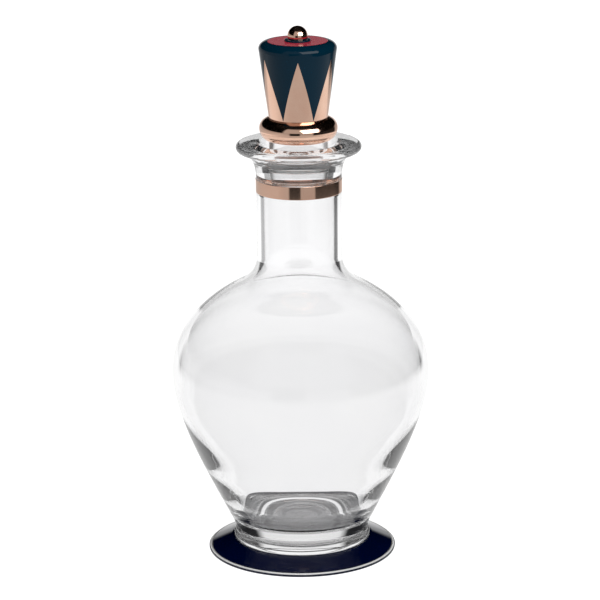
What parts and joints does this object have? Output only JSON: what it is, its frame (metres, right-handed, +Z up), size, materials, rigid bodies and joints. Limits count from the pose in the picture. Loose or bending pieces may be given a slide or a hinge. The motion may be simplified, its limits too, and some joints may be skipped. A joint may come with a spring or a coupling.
{
  "type": "carafe",
  "caption": "Clear teardrop glass carafe on a dark disc foot, with a copper neck band and a lift-out copper and dark enamel stopper with a ball finial.",
  "frame": {"origin": "centre of the foot's underside, on the surface that the carafe stands on", "axes": "+Z up along the axis of the vessel and stopper; -Y is the side that the picture shows; +X to the right of it"},
  "size_m": [0.125, 0.125, 0.2609],
  "materials": {
    "clear_glass": "blown and fire polished, clear",
    "navy_glass": "opaque navy black, high gloss",
    "bright_rim": "polished silver plate",
    "copper_plate": "copper plated, mirror polished",
    "dark_enamel": "fired blue-black enamel, glossy",
    "red_enamel": "fired red enamel, satin gloss",
    "silicone": "clear silicone",
    "cement": "cast bonding cement",
    "stud_steel": "turned"
  },
  "bodies": {
    "vessel": {"foot_disc": "navy_glass", "foot_rim_ring": "bright_rim", "base_disc": "clear_glass", "glass_vessel": "clear_glass", "neck_band": "copper_plate"},
    "seal": {"seal_ring": "silicone"},
    "stopper": {"stopper_plug": "clear_glass", "plug_cement": "cement", "stopper_flange": "copper_plate", "stopper_drum": "copper_plate", "enamel_crown": "dark_enamel", "top_disc": "red_enamel", "finial_collar": "dark_enamel", "finial_ball": "copper_plate", "tie_stud": "stud_steel"}
  },
  "joints": [
    {"name": "stopper_lift", "type": "slide", "parent": "vessel", "child": "seal", "axis": [0, 0, 1], "range_m": [0, 0.06]},
    {"name": "stopper_turn", "type": "hinge", "parent": "seal", "child": "stopper", "pos_m": [0, 0, 0.1944], "axis": [0, 0, 1], "continuous": true}
  ]
}
